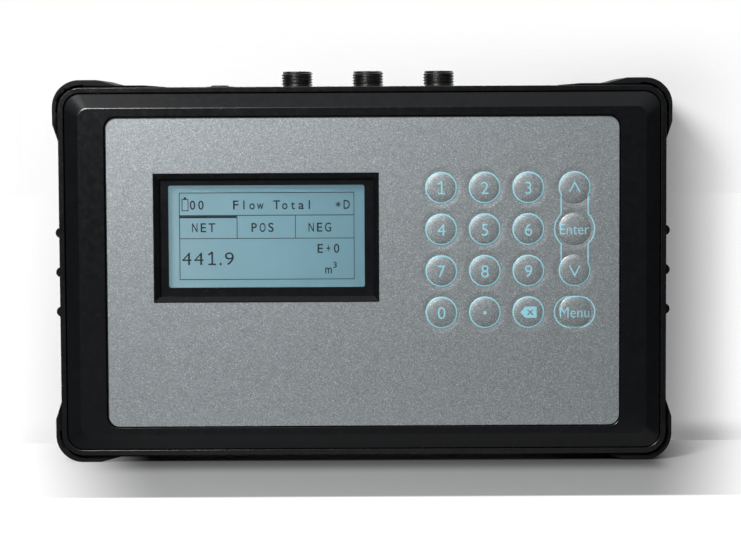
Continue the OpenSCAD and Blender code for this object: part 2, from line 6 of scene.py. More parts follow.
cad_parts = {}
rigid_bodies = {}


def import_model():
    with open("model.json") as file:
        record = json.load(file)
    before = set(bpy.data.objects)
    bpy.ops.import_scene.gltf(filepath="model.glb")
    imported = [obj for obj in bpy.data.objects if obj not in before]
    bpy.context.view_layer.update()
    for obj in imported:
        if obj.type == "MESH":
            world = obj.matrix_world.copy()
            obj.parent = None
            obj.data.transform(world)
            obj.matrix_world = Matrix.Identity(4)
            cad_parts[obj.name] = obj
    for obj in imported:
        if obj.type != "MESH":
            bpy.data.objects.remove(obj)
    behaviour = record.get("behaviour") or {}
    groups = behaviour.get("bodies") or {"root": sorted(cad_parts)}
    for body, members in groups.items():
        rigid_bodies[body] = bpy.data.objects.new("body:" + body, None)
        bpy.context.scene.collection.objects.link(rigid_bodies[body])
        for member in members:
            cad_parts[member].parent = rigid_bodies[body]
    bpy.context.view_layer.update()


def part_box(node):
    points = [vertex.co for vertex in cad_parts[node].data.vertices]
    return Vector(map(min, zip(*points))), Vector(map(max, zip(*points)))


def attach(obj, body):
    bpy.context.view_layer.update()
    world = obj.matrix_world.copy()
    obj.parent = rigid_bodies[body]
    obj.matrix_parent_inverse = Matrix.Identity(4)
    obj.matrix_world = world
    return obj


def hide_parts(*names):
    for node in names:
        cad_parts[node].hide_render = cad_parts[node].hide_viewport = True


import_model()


# ---- Front bezel ----
# The black moulded frame that holds the silver panel. Its flat land falls away in a wide
# chamfer to a rounded edge. The display's sloping surround stands in the same moulding,
# and screws from the back pull it into the deep shell.
MM = 0.001
bezel_low, bezel_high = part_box("front_bezel")
FRONT_Y = bezel_low.y
MID_Z = (bezel_low.z + bezel_high.z) / 2


def spot(x, depth, z):
    """A place in metres, from millimetres about the panel's centre and behind the bezel's face."""
    return Vector((x * MM, FRONT_Y + depth * MM, MID_Z + z * MM))


def put_down():
    """Leaves the mesh being edited and lets go of every piece."""
    if bpy.context.object and bpy.context.object.mode == "EDIT":
        bpy.ops.object.mode_set(mode="OBJECT")
    bpy.ops.object.select_all(action="DESELECT")


def pick(piece):
    """Makes one piece the one that is worked on."""
    put_down()
    piece.select_set(True)
    bpy.context.view_layer.objects.active = piece


def edit(piece, mode="VERT"):
    """Opens a piece's mesh with all of it selected."""
    pick(piece)
    bpy.ops.object.mode_set(mode="EDIT")
    bpy.ops.mesh.select_mode(type=mode)
    bpy.ops.mesh.select_all(action="SELECT")


def settle(piece):
    """Moves a piece's place, turn and size into its mesh, so that it sits at the origin."""
    pick(piece)
    bpy.ops.object.transform_apply(location=True, rotation=True, scale=True)


def outline(w, h, r, depth, x=0, z=0, turns=10):
    """A flat rounded rectangle that faces the front."""
    put_down()
    bpy.ops.mesh.primitive_plane_add(size=MM, location=spot(x, depth, z),
                                     rotation=(math.pi / 2, 0, 0))
    piece = bpy.context.object
    piece.scale = (w, h, 1)
    settle(piece)
    if r > 0:
        edit(piece)
        bpy.ops.mesh.bevel(offset=r * MM, segments=turns, affect="VERTICES")
        put_down()
    return piece


def slab(name, w, h, r, front, back, x=0, z=0, turns=10):
    """A rounded plate between two depths."""
    piece = outline(w, h, r, front, x, z, turns)
    piece.name = name
    edit(piece, "FACE")
    bpy.ops.mesh.extrude_region_move(
        TRANSFORM_OT_translate={"value": (0, (back - front) * MM, 0)})
    bpy.ops.mesh.select_all(action="SELECT")
    bpy.ops.mesh.normals_make_consistent(inside=False)
    put_down()
    return piece


def loft(name, rings, turns=10):
    """Rounded outlines (w, h, r, depth, x, z), front to back, bridged into one closed shape."""
    parts = [outline(*ring, turns=turns) for ring in rings]
    put_down()
    for part in parts:
        part.select_set(True)
    bpy.context.view_layer.objects.active = parts[0]
    bpy.ops.object.join()
    piece = bpy.context.object
    piece.name = name
    count = len(piece.data.vertices) // len(rings)
    for step in range(len(rings) - 1):
        put_down()
        bpy.ops.object.mode_set(mode="EDIT")
        bpy.ops.mesh.select_mode(type="EDGE")
        bpy.ops.mesh.select_all(action="DESELECT")
        bpy.ops.object.mode_set(mode="OBJECT")
        for edge in piece.data.edges:
            rows = {v // count for v in edge.vertices}
            edge.select = rows == {step} or rows == {step + 1}
        bpy.ops.object.mode_set(mode="EDIT")
        bpy.ops.mesh.bridge_edge_loops()
    put_down()
    bpy.ops.object.mode_set(mode="EDIT")
    bpy.ops.mesh.select_mode(type="FACE")
    bpy.ops.mesh.select_all(action="DESELECT")
    bpy.ops.object.mode_set(mode="OBJECT")
    for face in piece.data.polygons:
        rows = {v // count for v in face.vertices}
        face.select = len(rows) == 1 and not rows & {0, len(rings) - 1}
    bpy.ops.object.mode_set(mode="EDIT")
    bpy.ops.mesh.delete(type="ONLY_FACE")
    bpy.ops.mesh.select_all(action="SELECT")
    bpy.ops.mesh.normals_make_consistent(inside=False)
    put_down()
    return piece


def apply_last(piece):
    """Works a piece's newest modifier into its mesh."""
    pick(piece)
    bpy.ops.object.modifier_apply(modifier=piece.modifiers[-1].name)


def carve(piece, *cutters, operation="DIFFERENCE"):
    """Cuts each cutter out of a piece, or joins it on, and throws the cutter away."""
    for cutter in cutters:
        cut = piece.modifiers.new("cut", "BOOLEAN")
        cut.operation = operation
        cut.solver = "EXACT"
        cut.object = cutter
        apply_last(piece)
        bpy.data.objects.remove(cutter)
    return piece


def soften(piece, width, steps, angle):
    """Rounds every edge that turns by more than the angle, and shades the rest smooth."""
    edge = piece.modifiers.new("edge", "BEVEL")
    edge.width = width * MM
    edge.segments = steps
    edge.limit_method = "ANGLE"
    edge.angle_limit = math.radians(angle)
    apply_last(piece)
    smooth(piece)


def smooth(piece, angle=30, flat=False):
    """Smooth shading up to an angle. With flat, broad faces stay flat beside rounded edges."""
    pick(piece)
    bpy.ops.object.shade_smooth_by_angle(angle=math.radians(angle))
    if flat:
        even = piece.modifiers.new("even", "WEIGHTED_NORMAL")
        even.keep_sharp = True
        even.weight = 100
        apply_last(piece)
    put_down()


def round_where(piece, width, steps, test, sharp=35):
    """Rounds the sharp edges whose ends both pass a test of (x, depth, z) in millimetres."""
    edit(piece, "EDGE")
    bpy.ops.mesh.select_all(action="DESELECT")
    bpy.ops.mesh.edges_select_sharp(sharpness=math.radians(sharp))
    bpy.ops.object.mode_set(mode="OBJECT")
    places = [(v.co.x / MM, (v.co.y - FRONT_Y) / MM, (v.co.z - MID_Z) / MM)
              for v in piece.data.vertices]
    for face in piece.data.polygons:
        face.select = False
    for edge in piece.data.edges:
        edge.select = edge.select and all(test(*places[end]) for end in edge.vertices)
    bpy.ops.object.mode_set(mode="EDIT")
    bpy.ops.mesh.bevel(offset=width * MM, segments=steps, affect="EDGES", clamp_overlap=False)
    put_down()


def finish_piece(piece, body, material, stands_for=()):
    """A piece takes its material, rides on its body and stands for its solids."""
    piece.data.materials.clear()
    piece.data.materials.append(material)
    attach(piece, body)
    if stands_for:
        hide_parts(*stands_for)


def new_material(name):
    """A material with its nodes, its surface and the place on the object in metres."""
    made = bpy.data.materials.new(name)
    made.use_nodes = True
    tree = made.node_tree
    place = tree.nodes.new("ShaderNodeTexCoord")
    return made, tree, tree.nodes["Principled BSDF"], place.outputs["Object"]


def noise(tree, place, grain, detail=2.0, roughness=0.5):
    """A noise whose grain is given in millimetres."""
    made = tree.nodes.new("ShaderNodeTexNoise")
    made.inputs["Scale"].default_value = 1 / (grain * MM)
    made.inputs["Detail"].default_value = detail
    made.inputs["Roughness"].default_value = roughness
    tree.links.new(place, made.inputs["Vector"])
    return made.outputs["Fac"]


def ramp(tree, value, stops):
    """Colours or grey levels along a value, as (place, colour) stops."""
    made = tree.nodes.new("ShaderNodeValToRGB")
    while len(made.color_ramp.elements) < len(stops):
        made.color_ramp.elements.new(0.5)
    for element, (where, colour) in zip(made.color_ramp.elements, stops):
        element.position = where
        element.color = (*colour, 1) if len(colour) == 3 else colour
    tree.links.new(value, made.inputs["Fac"])
    return made.outputs["Color"]


def grey(level):
    """A colour without tint."""
    return (level, level, level)


def raise_grain(tree, shader, value, strength, height):
    """A bump whose height is given in millimetres."""
    made = tree.nodes.new("ShaderNodeBump")
    made.inputs["Strength"].default_value = strength
    made.inputs["Distance"].default_value = height * MM
    tree.links.new(value, made.inputs["Height"])
    before = shader.inputs["Normal"].links
    if before:
        tree.links.new(before[0].from_socket, made.inputs["Normal"])
    tree.links.new(made.outputs["Normal"], shader.inputs["Normal"])


def moulded(name, dark, pale, rough, grain=0.35, height=0.02, gloss=0.5, spread=0.06):
    """Moulded plastic or rubber: two close colours in slow clouds under a fine raised grain."""
    made, tree, shader, place = new_material(name)
    cloud = noise(tree, place, 9.0, 3.0)
    tree.links.new(ramp(tree, cloud, [(0.3, dark), (0.7, pale)]), shader.inputs["Base Color"])
    wear = noise(tree, place, 2.6, 4.0, 0.65)
    tree.links.new(ramp(tree, wear, [(0.3, grey(rough - spread)), (0.7, grey(rough + spread))]),
                   shader.inputs["Roughness"])
    shader.inputs["Specular IOR Level"].default_value = gloss
    raise_grain(tree, shader, noise(tree, place, grain, 3.0), 0.5, height)
    return made


BEZEL = moulded("bezel_black", (0.0026, 0.003, 0.0038), (0.0038, 0.0043, 0.0053), 0.24, 0.35,
                0.006, spread=0.04)

# Each outline is its width, height and corner radius
LAND = (214.6, 124.3, 3.8)
OUTER = (225.4, 135.1, 6.0)
RECESS = (195, 118, 4.5)
HOLLOW = (217, 126.7, 3.8)
SURROUND_TOP = (84.5, 48.1, 0.15)
SURROUND_FLOOR = (81.1, 44.7, 0.15)
SIGHT = (74.4, 38.8, 0.8)
CHAMFER_DEEP = 3.0
BEZEL_DEEP = 7.0
RECESS_DEEP = 2.4
SURROUND_LIP = 0.3
SURROUND_DEEP = 2.0
DISPLAY_AT = (-36.5, 13.0)
DISPLAY_X, DISPLAY_Z = DISPLAY_AT
VIEW_Z = DISPLAY_Z + 0.4

bezel = loft("bezel", [(*LAND, 0), (*OUTER, CHAMFER_DEEP), (*OUTER, BEZEL_DEEP)])
soften(bezel, 0.3, 3, 20)
recess = slab("recess", *RECESS, -1, RECESS_DEEP)
carve(recess, slab("island", 85.1, 48.7, 0, -2, 4, *DISPLAY_AT))
carve(bezel, recess)
lowered = slab("lowered", 87, 50, 0, -2, SURROUND_LIP, *DISPLAY_AT)
well = loft("well", [(*SURROUND_TOP, -0.7, *DISPLAY_AT),
                     (*SURROUND_TOP, SURROUND_LIP, *DISPLAY_AT),
                     (*SURROUND_FLOOR, SURROUND_DEEP, *DISPLAY_AT),
                     (*SURROUND_FLOOR, 3.6, *DISPLAY_AT)], 2)
sight = slab("sight", *SIGHT, -1, 9, DISPLAY_X, VIEW_Z)
hollow = slab("hollow", *HOLLOW, 5.0, 9.0)
carve(bezel, lowered, well, sight, hollow)
round_where(bezel, 0.25, 5, lambda x, d, z: d < 0.05 and abs(x) < 98 and abs(z) < 60)
smooth(bezel, 15.5, True)
finish_piece(bezel, "case", BEZEL, ["front_bezel"])


# ---- Keypad panel ----
# A stiff plastic sheet, painted silver with fine metal flakes and cut to shape, let into
# the bezel's recess. Each key comes through a round hole that the sheet dips towards.
KEY_X = (29.7, 46.15, 62.6, 80.1)
KEY_Z = (31.6, 15.85, 0.1, -15.65)
TOWARDS_FRONT = Vector((0, -1, 0))


def turned(name, base, along, steps, sides=64):
    """A round piece that grows from its base, through (radius, reach) steps in millimetres."""
    put_down()
    radius, reach = steps[0]
    bpy.ops.mesh.primitive_circle_add(vertices=sides, radius=radius * MM, fill_type="NGON",
                                      location=base + along * reach * MM,
                                      rotation=along.to_track_quat("Z", "Y").to_euler())
    piece = bpy.context.object
    piece.name = name
    settle(piece)
    edit(piece, "FACE")
    for next_radius, next_reach in steps[1:]:
        bpy.ops.mesh.extrude_region_move(
            TRANSFORM_OT_translate={"value": along * (next_reach - reach) * MM})
        grow = next_radius / radius
        bpy.ops.transform.resize(value=(grow, grow, grow),
                                 center_override=base + along * next_reach * MM)
        radius, reach = next_radius, next_reach
    bpy.ops.mesh.select_all(action="SELECT")
    bpy.ops.mesh.normals_make_consistent(inside=False)
    put_down()
    return piece


def join(name, pieces):
    """Several pieces as one."""
    put_down()
    for piece in pieces:
        piece.select_set(True)
    bpy.context.view_layer.objects.active = pieces[0]
    bpy.ops.object.join()
    pieces[0].name = name
    put_down()
    return pieces[0]


def speckle(tree, place, size):
    """One random grey level for each small flake."""
    cells = tree.nodes.new("ShaderNodeTexVoronoi")
    cells.inputs["Scale"].default_value = 1 / (size * MM)
    tree.links.new(place, cells.inputs["Vector"])
    split = tree.nodes.new("ShaderNodeSeparateColor")
    tree.links.new(cells.outputs["Color"], split.inputs["Color"])
    return split.outputs["Red"]


def blend_colours(tree, amount, first, second):
    """The first colour where the amount is nothing, the second where it is one."""
    mix = tree.nodes.new("ShaderNodeMix")
    mix.data_type = "RGBA"
    tree.links.new(amount, mix.inputs[0])
    tree.links.new(first, mix.inputs[6])
    tree.links.new(second, mix.inputs[7])
    return mix.outputs[2]


def flaked(name, dark, pale, glint, rough, metal):
    """Silver paint: a fine mottle with scattered bright flakes."""
    made, tree, shader, place = new_material(name)
    mottle = ramp(tree, speckle(tree, place, 0.26), [(0.0, dark), (1.0, pale)])
    flakes = ramp(tree, speckle(tree, place, 0.22), [(0.90, grey(0)), (0.97, grey(1))])
    tone = ramp(tree, noise(tree, place, 0.3, 1.0), [(0.3, tuple(c * 0.9 for c in glint)),
                                                     (0.7, glint)])
    tree.links.new(blend_colours(tree, flakes, mottle, tone), shader.inputs["Base Color"])
    shader.inputs["Metallic"].default_value = metal
    wear = ramp(tree, noise(tree, place, 4.0, 3.0), [(0.3, grey(rough - 0.03)),
                                                     (0.7, grey(rough + 0.03))])
    tree.links.new(wear, shader.inputs["Roughness"])
    raise_grain(tree, shader, noise(tree, place, 0.25, 2.0), 0.4, 0.005)
    return made


SILVER = flaked("silver_paint", (0.225, 0.249, 0.262), (0.40, 0.436, 0.450), (0.68, 0.72, 0.73),
                0.45, 0.6)
PANEL = (193.6, 116.7, 4)
PANEL_FRONT = 0.3
PANEL_BACK = 1.1
HOLE_R = 6.14
DIP_DEEP = 0.42
DIP = [(6.0, 0), (7.85, 0.121), (7.85, 1)]

panel = slab("panel", *PANEL, PANEL_FRONT, PANEL_BACK, 0.15, -0.2)
holes = [turned("hole", spot(x, 2, z), TOWARDS_FRONT, [(HOLE_R, 0), (HOLE_R, 4)])
         for x in KEY_X for z in KEY_Z]
carve(panel, slab("gap", 85.4, 49, 0, -1, 3, *DISPLAY_AT), join("holes", holes))
dips = [turned("dip", spot(x, DIP_DEEP, z), TOWARDS_FRONT, DIP) for x in KEY_X for z in KEY_Z]
carve(panel, join("dips", dips))
round_where(panel, 0.04, 1, lambda x, d, z: d < 0.31, 60)
smooth(panel, 2.5, True)
finish_piece(panel, "case", SILVER, ["keypad_panel"])


# ---- Keys ----
# Sixteen round keys in the same painted sheet, each pressed up into a low crown with a
# turned edge. The pale blue ink of the rings and signs is printed on the crowns.
def printed_ink(name, colour, rough):
    """Ink that covers a little unevenly and stands a hair above what it is printed on."""
    made, tree, shader, place = new_material(name)
    cover = ramp(tree, noise(tree, place, 0.25, 2.0), [(0.2, tuple(c * 0.82 for c in colour)),
                                                       (0.75, colour)])
    tree.links.new(cover, shader.inputs["Base Color"])
    film = ramp(tree, noise(tree, place, 1.5, 2.0), [(0.3, grey(rough - 0.05)),
                                                     (0.7, grey(rough + 0.05))])
    tree.links.new(film, shader.inputs["Roughness"])
    raise_grain(tree, shader, noise(tree, place, 0.2, 2.0), 0.3, 0.006)
    return made


INK = printed_ink("pale_blue_ink", (0.34, 0.71, 0.82), 0.4)
INK_DEPTH = 0.02
CROWN = [(6.1, -1.1), (6.1, -0.32), (6.03, -0.26), (5.75, -0.21), (5.4, -0.14), (5.0, -0.055),
         (4.5, 0.02), (3.9, 0.075), (3.2, 0.12), (2.4, 0.15), (1.5, 0.168), (0.7, 0.175)]
RING_OUTER = 6.04
RING_INNER = 5.5
LINE = 0.5
PILL = (15.8, 12.2, 6.099)
NECK = 10.7
DIGIT = 6.7
WORD = 5.9


def copy_of(piece, name, shift=(0, 0, 0)):
    """A new piece with the same mesh, moved by a shift in metres."""
    put_down()
    twin = bpy.data.objects.new(name, piece.data.copy())
    bpy.context.scene.collection.objects.link(twin)
    twin.location = shift
    settle(twin)
    put_down()
    return twin


def lettering(word, height, x, z, grow=0.0, width=1.0, half=1.5):
    """A word as a thick block across the key, so that the key's own shape can trim it."""
    put_down()
    bpy.ops.object.text_add(location=(0, 0, 0), rotation=(math.pi / 2, 0, 0))
    words = bpy.context.object
    words.data.body = word
    words.data.size = height * MM
    words.data.offset = grow * MM
    words.data.extrude = half * MM
    words.data.resolution_u = 4
    bpy.ops.object.convert(target="MESH")
    words = bpy.context.object
    edit(words)
    bpy.ops.mesh.remove_doubles(threshold=1e-7)
    bpy.ops.mesh.normals_make_consistent(inside=False)
    put_down()
    corners = [v.co for v in words.data.vertices]
    low_x, high_x = min(c.x for c in corners), max(c.x for c in corners)
    words.scale = (width, 1, 1)
    words.location = spot(x, 0, z) - Vector(((low_x + high_x) / 2 * width, 0, 0))
    settle(words)
    return words


def trimmed(art, carrier):
    """What of a printed shape lies on a piece, as a film on that piece's own surface."""
    film = copy_of(carrier, "film", TOWARDS_FRONT * INK_DEPTH * MM)
    carve(art, film, operation="INTERSECT")
    return art


def band(name, outer, inner, x, z, sides=64):
    """A flat ring, as a thick block."""
    ring = turned(name, spot(x, 1.5, z), TOWARDS_FRONT,
                  [(outer, 0), (outer, 3), (inner, 3), (inner, 0)], sides)
    edit(ring, "FACE")
    bpy.ops.mesh.select_all(action="DESELECT")
    put_down()
    for face in ring.data.polygons:
        face.select = len(face.vertices) > 4
    pick(ring)
    bpy.ops.object.mode_set(mode="EDIT")
    bpy.ops.mesh.delete(type="FACE")
    bpy.ops.mesh.select_mode(type="EDGE")
    bpy.ops.mesh.select_all(action="DESELECT")
    bpy.ops.mesh.select_non_manifold()
    bpy.ops.mesh.bridge_edge_loops()
    bpy.ops.mesh.select_all(action="SELECT")
    bpy.ops.mesh.normals_make_consistent(inside=False)
    put_down()
    return ring


first_key = turned("first_key", spot(0, 0, 0), TOWARDS_FRONT, CROWN)
first_ring = band("first_ring", RING_OUTER, RING_INNER, 0, 0)

SIGNS = {f"key_{number}": str(number) for number in range(10)}
SIGNS.update(key_enter="Enter", key_menu="Menu")
ROWS = [["key_1", "key_2", "key_3", "key_up"], ["key_4", "key_5", "key_6", "key_enter"],
        ["key_7", "key_8", "key_9", "key_down"],
        ["key_0", "key_point", "key_backspace", "key_menu"]]


def bar(name, x, z, w, h, turn=0.0, front=-1.5, back=1.5):
    """A straight printed stroke, as a thick block turned about its middle."""
    stroke = slab(name, w, h, 0, front, back)
    stroke.rotation_mode = "XYZ"
    edit(stroke)
    bpy.ops.transform.rotate(value=math.radians(turn), orient_axis="Y",
                             center_override=spot(0, 0, 0))
    bpy.ops.transform.translate(value=(x * MM, 0, z * MM))
    put_down()
    return stroke


def merged(name, *shapes):
    """Overlapping thick blocks as one block."""
    carve(shapes[0], *shapes[1:], operation="UNION")
    shapes[0].name = name
    return shapes[0]


def arrow_trail(grow, deep):
    """The outline round the arrows and Enter: three discs joined by two straight necks."""
    x = KEY_X[3]
    discs = [turned("disc", spot(x, deep, z), TOWARDS_FRONT,
                    [(r + grow, 0), (r + grow, 2 * deep)], 96)
             for z, r in zip(KEY_Z, (6.06, 7.8, 6.06))]
    neck = slab("neck", NECK + 2 * grow, KEY_Z[0] - KEY_Z[2] - 6, 0, -deep - 0.1, deep + 0.1,
                x, KEY_Z[1])
    return merged("trail", *discs, neck)


trail = carve(arrow_trail(0, 1.5), arrow_trail(-LINE, 2))
pill = slab("pill", *PILL, -1.5, 1.5, KEY_X[3], KEY_Z[3], 24)
within = (PILL[0] - 2 * LINE, PILL[1] - 2 * LINE, PILL[2] - LINE)
carve(pill, slab("inner", *within, -2, 2, KEY_X[3], KEY_Z[3], 24))
for number, outline_art in enumerate((trail, pill)):
    mark = trimmed(copy_of(outline_art, f"panel_print_{number}"), panel)
    finish_piece(mark, "case", INK)

for row, names in enumerate(ROWS):
    for column, name in enumerate(names):
        x, z = KEY_X[column], KEY_Z[row]
        place = Vector((x * MM, 0, z * MM))
        cap = copy_of(first_key, name.replace("key", "cap"), place)
        smooth(cap, 40)
        finish_piece(cap, name, SILVER, [name])
        art = []
        if column < 3:
            art.append(copy_of(first_ring, "ring", place))
        elif name != "key_enter":
            art.append(copy_of(pill if name == "key_menu" else trail, "line"))
        if name == "key_1":
            art.append(merged("one", bar("stem", x + 0.2, z, 0.62, 4.9),
                              bar("foot", x + 0.2, z - 2.17, 2.7, 0.56),
                              bar("flag", x - 0.5, z + 1.83, 1.75, 0.58, 32)))
        elif name in SIGNS:
            word = SIGNS[name]
            if len(word) == 1:
                art.append(lettering(word, DIGIT, x + 0.05, z - 2.45, -0.03))
            else:
                narrow = 0.9 if word == "Menu" else 0.88
                art.append(lettering(word, WORD, x, z - 2.1, -0.04, narrow))
        elif name == "key_point":
            art.append(turned("point", spot(x, 1.5, z - 0.1), TOWARDS_FRONT,
                              [(0.65, 0), (0.65, 3)], 24))
        elif name == "key_backspace":
            tab = slab("tab", 6.2, 4.3, 0, -1.5, 1.5, x, z)
            art.append(carve(tab, bar("upper", x - 3.27, z + 2.07, 8, 3, 48.5),
                             bar("lower", x - 3.27, z - 2.07, 8, 3, -48.5),
                             bar("cross", x + 0.7, z, 2.9, 0.5, 45),
                             bar("cross", x + 0.7, z, 2.9, 0.5, -45)))
        else:
            way = 1 if name == "key_up" else -1
            art.append(merged("arrow", bar("left", x - 0.95, z + way * 0.1, 4.4, 0.52, way * 63),
                              bar("right", x + 0.95, z + way * 0.1, 4.4, 0.52, -way * 63)))
        for number, shape in enumerate(art):
            mark = trimmed(shape, cap)
            mark.name = f"{name}_print_{number}"
            smooth(mark, 40)
            finish_piece(mark, name, INK)
for block in (first_key, first_ring, trail, pill):
    bpy.data.objects.remove(block)


# ---- Display ----
# A bare liquid crystal cell in a thin steel frame, lit from its edge by a pale blue light
# panel, behind a clear polycarbonate window. The dark segments lie on the cell's front.
def glossy_sheet(name, base, rough, clear):
    """A clear sheet with a trace of dust and waviness."""
    made, tree, shader, place = new_material(name)
    dust = ramp(tree, noise(tree, place, 1.8, 4.0), [(0.35, grey(rough)),
                                                     (0.8, grey(rough + 0.05))])
    tree.links.new(dust, shader.inputs["Roughness"])
    tint = ramp(tree, noise(tree, place, 12.0, 2.0), [(0.3, base),
                                                      (0.7, tuple(c * 0.985 for c in base))])
    tree.links.new(tint, shader.inputs["Base Color"])
    shader.inputs["Transmission Weight"].default_value = clear
    shader.inputs["IOR"].default_value = 1.49
    raise_grain(tree, shader, noise(tree, place, 6.0, 1.0), 0.08, 0.01)
    return made


def dress(material, *names):
    """A CAD node whose shape is right keeps it, and only takes its material."""
    for name in names:
        bpy.data.objects[name].material_slots[0].material = material


WINDOW = glossy_sheet("clear_window", (0.97, 0.985, 0.985), 0.02, 1.0)
dress(WINDOW, "display_window")

HALF_VIEW = 38
CELL, tree, shader, place = new_material("lit_cell")
centred = tree.nodes.new("ShaderNodeMapping")
centred.inputs["Location"].default_value = -spot(DISPLAY_X, 0, VIEW_Z)
tree.links.new(place, centred.inputs["Vector"])
apart = tree.nodes.new("ShaderNodeSeparateXYZ")
tree.links.new(centred.outputs["Vector"], apart.inputs["Vector"])
across = tree.nodes.new("ShaderNodeMapRange")
across.inputs["From Min"].default_value = -HALF_VIEW * MM
across.inputs["From Max"].default_value = HALF_VIEW * MM
tree.links.new(apart.outputs["X"], across.inputs["Value"])
# The cell's glow and colour are brighter at the left and darker towards the right.
glow = ramp(tree, across.outputs["Result"], [(0.0, (0.255, 0.41, 0.465)),
                                             (0.45, (0.21, 0.375, 0.44)),
                                             (1.0, (0.16, 0.30, 0.36))])
weave = ramp(tree, noise(tree, place, 0.42, 2.0), [(0.3, grey(0.93)), (0.7, grey(1.0))])
film = tree.nodes.new("ShaderNodeMix")
film.data_type = "RGBA"
film.blend_type = "MULTIPLY"
film.inputs[0].default_value = 1.0
tree.links.new(glow, film.inputs[6])
tree.links.new(weave, film.inputs[7])
tree.links.new(film.outputs[2], shader.inputs["Emission Color"])
tree.links.new(film.outputs[2], shader.inputs["Base Color"])
shader.inputs["Emission Strength"].default_value = 0.62
shader.inputs["Roughness"].default_value = 0.45
dress(CELL, "screen_glass")

SEGMENT = printed_ink("dark_segments", (0.004, 0.018, 0.03), 0.5)
SEGMENT_FRONT = 6.98
SEGMENT_BACK = 6.999
# Straight lines, as (across, up, width, height) about the middle of the view
DISPLAY_LINES = [(0, 16.5, 66.4, 0.28), (0, -16.5, 66.4, 0.28), (-33.2, 0, 0.28, 33.2),
                 (33.2, 0, 0.24, 33.2), (0, 7.9, 66.4, 0.3), (0, -0.9, 66.4, 0.26),
                 (-11.3, 3.5, 0.28, 8.8), (10.9, 3.5, 0.24, 8.8), (-22.3, 7.3, 21.6, 0.8),
                 (-32.2, 11.9, 0.3, 4.5), (-29.9, 11.9, 0.3, 4.5), (-31.05, 9.75, 2.6, 0.3),
                 (-31.05, 14.05, 2.6, 0.3), (-31.05, 14.5, 0.9, 0.7)]
# Words, as (word, letter height, foot, middle of the first letter, pitch)
DISPLAY_WORDS = [("00", 3.5, 10.2, -28.2, 3.2), ("Flow Total", 3.5, 10.2, -11.75, 3.11),
                 ("D", 3.5, 10.2, 30.45, 3.25), ("NET", 3.5, 1.6, -27.4, 3.25),
                 ("POS", 3.5, 1.6, -4.8, 3.2), ("NEG", 3.5, 1.6, 16.9, 3.2),
                 ("44", 5.1, -11.0, -30.6, 4.6), (".", 5.1, -11.0, -17.7, 0),
                 ("9", 5.1, -11.0, -14.35, 0), ("E+0", 3.5, -6.5, 20.3, 3.1),
                 ("m", 3.5, -14.4, 23.4, 0), ("3", 2.3, -12.2, 25.9, 0)]
LETTER_WIDTH = {"l": 0.5, "t": 1.6, "w": 2.6, "T": 2.6, "m": 2.5, ".": 0.8, "+": 1.4,
                "3": 1.3, "4": 3.6, "9": 3.4, "D": 2.4, "G": 2.4, "O": 2.3, "a": 2.1}
# The figure one and the star, as (across, up, width, height, turn)
DISPLAY_STROKES = [(-20.9, -8.45, 0.62, 5.1, 0), (-20.9, -10.72, 2.9, 0.56, 0),
                   (-21.6, -6.6, 1.9, 0.58, 36), (27.2, 11.9, 0.36, 2.1, 0),
                   (27.2, 11.9, 0.36, 2.1, 60), (27.2, 11.9, 0.36, 2.1, -60)]
segments = [slab("line", w, h, 0, SEGMENT_FRONT, SEGMENT_BACK, DISPLAY_X + u, VIEW_Z + v)
            for u, v, w, h in DISPLAY_LINES]
segments += [bar("stroke", DISPLAY_X + u, VIEW_Z + v, w, h, turn, SEGMENT_FRONT, SEGMENT_BACK)
             for u, v, w, h, turn in DISPLAY_STROKES]
for word, height, base, first, pitch in DISPLAY_WORDS:
    for step, letter in enumerate(word):
        if letter == " ":
            continue
        at = DISPLAY_X + first + step * pitch
        bold = {"4": -0.05, "9": -0.04}.get(letter, 0.045)
        sign = lettering(letter, height / 0.72, at, VIEW_Z + base, bold, half=0.0095)
        edit(sign)
        bpy.ops.transform.translate(value=(0, 6.9895 * MM, 0))
        grow = LETTER_WIDTH.get(letter, 2.05) * MM / sign.dimensions.x
        bpy.ops.transform.resize(value=(grow, 1, 1), center_override=spot(at, 0, 0))
        put_down()
        segments.append(sign)
segments = join("segments", segments)
finish_piece(segments, "case", SEGMENT)


# ---- Rear shell ----
# The deep moulded tray that carries everything, with a raised rim round the bezel, ribs to
# grip it by and a bay for the cells. Its moulded edges are slightly rounded.
def from_cad(node, name):
    """A copy of a node's mesh, merged into clean faces, so that its edges can be rounded."""
    piece = copy_of(bpy.data.objects[node], name)
    edit(piece)
    bpy.ops.mesh.remove_doubles(threshold=1e-6)
    bpy.ops.mesh.dissolve_limited(angle_limit=math.radians(0.5))
    bpy.ops.mesh.normals_make_consistent(inside=False)
    put_down()
    return piece


SHELL = moulded("shell_black", (0.0027, 0.003, 0.0037), (0.0045, 0.0048, 0.0058), 0.25, 0.4,
                0.006, spread=0.04)
shell = from_cad("rear_shell", "shell")
round_where(shell, 0.4, 3, lambda x, d, z: d < 3.3 and abs(x) < 114 and abs(z) < 68.9)
round_where(shell, 0.3, 3, lambda x, d, z: d < 3.3 and (abs(x) > 114 or abs(z) > 68.9))
round_where(shell, 0.4, 2, lambda x, d, z: 15.9 < d < 16.1 and (abs(x) > 114 or abs(z) > 69))
round_where(shell, 0.5, 2, lambda x, d, z: 50.9 < d < 54.1 and (abs(x) > 104 or abs(z) > 60)
            and math.hypot(abs(x) - 106, abs(z) - 61) > 6.5, 20)
smooth(shell, 32, True)
finish_piece(shell, "case", SHELL, ["rear_shell"])
SEAL = moulded("seal_rubber", (0.006, 0.006, 0.0065), (0.010, 0.010, 0.011), 0.6, 0.2, 0.01)
dress(SEAL, "case_gasket", "socket_washers")


# ---- Corner guards ----
# Soft rubber bumpers pushed over the four corners, each with a slot beside the rim and a
# pad behind the back. The case screws are reached through a hole in the pad.
GUARD = moulded("guard_rubber", (0.0035, 0.0037, 0.0042), (0.006, 0.0063, 0.007), 0.55, 0.3,
                0.012, 0.16)


